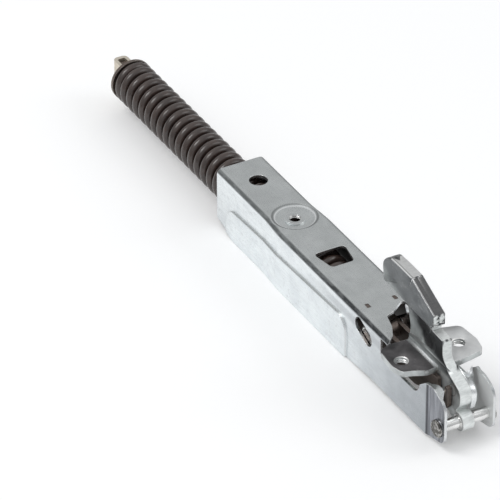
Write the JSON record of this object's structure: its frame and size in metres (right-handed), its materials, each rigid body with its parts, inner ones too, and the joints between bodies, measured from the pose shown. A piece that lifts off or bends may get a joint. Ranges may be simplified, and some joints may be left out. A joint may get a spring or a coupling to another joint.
{
  "type": "oven door hinge",
  "caption": "Drop-down oven door hinge: folded steel housing, swinging hook arm with screw ears, and tie strips that squeeze a long coil spring as the door opens.",
  "frame": {"origin": "midway between the two screw holes of the arm's ears, on the ears' upper faces, with the door closed", "axes": "+X along the hinge towards its pivot end, +Y across it, +Z out of the housing's closed side, the way the hook stands"},
  "size_m": [0.2974, 0.0392, 0.0567],
  "materials": {
    "housing_sheet": "zinc plated, satin",
    "inner_sheet": "zinc plated, dull",
    "arm_steel": "stamped, satin",
    "spring_wire": "oiled dark brown lacquer",
    "turned_steel": "bright",
    "clip_steel": "pale plated"
  },
  "bodies": {
    "housing": {"housing": "housing_sheet", "threaded_insert": "turned_steel", "spring": "spring_wire", "spring_seat": "inner_sheet", "seat_washer": "inner_sheet", "pivot_pin": "turned_steel"},
    "arm": {"arm_plate_left": "arm_steel", "arm_plate_right": "arm_steel", "arm_rivets": "turned_steel", "pivot_bush": "turned_steel", "link_pin": "turned_steel"},
    "rod": {"tie_strip_left": "inner_sheet", "tie_strip_right": "inner_sheet", "strip_rivets": "turned_steel", "rear_cup": "inner_sheet", "end_clip": "clip_steel", "clip_pin": "turned_steel", "guide_pin": "turned_steel", "guide_sleeve": "turned_steel", "guide_disc_left": "turned_steel", "guide_disc_right": "turned_steel"}
  },
  "joints": [
    {"name": "arm_swing", "type": "hinge", "parent": "housing", "child": "arm", "pos_m": [0.0268, 0, -0.0165], "axis": [0, 1, 0], "range_deg": [0, 90]},
    {"name": "rod_slide", "type": "slide", "parent": "housing", "child": "rod", "axis": [1, 0, 0], "range_m": [0, 0.01705], "deforming": ["spring"]}
  ],
  "couplings": [
    {"joint": "rod_slide", "follows": "arm_swing", "m_per_rad": 0.010849}
  ]
}
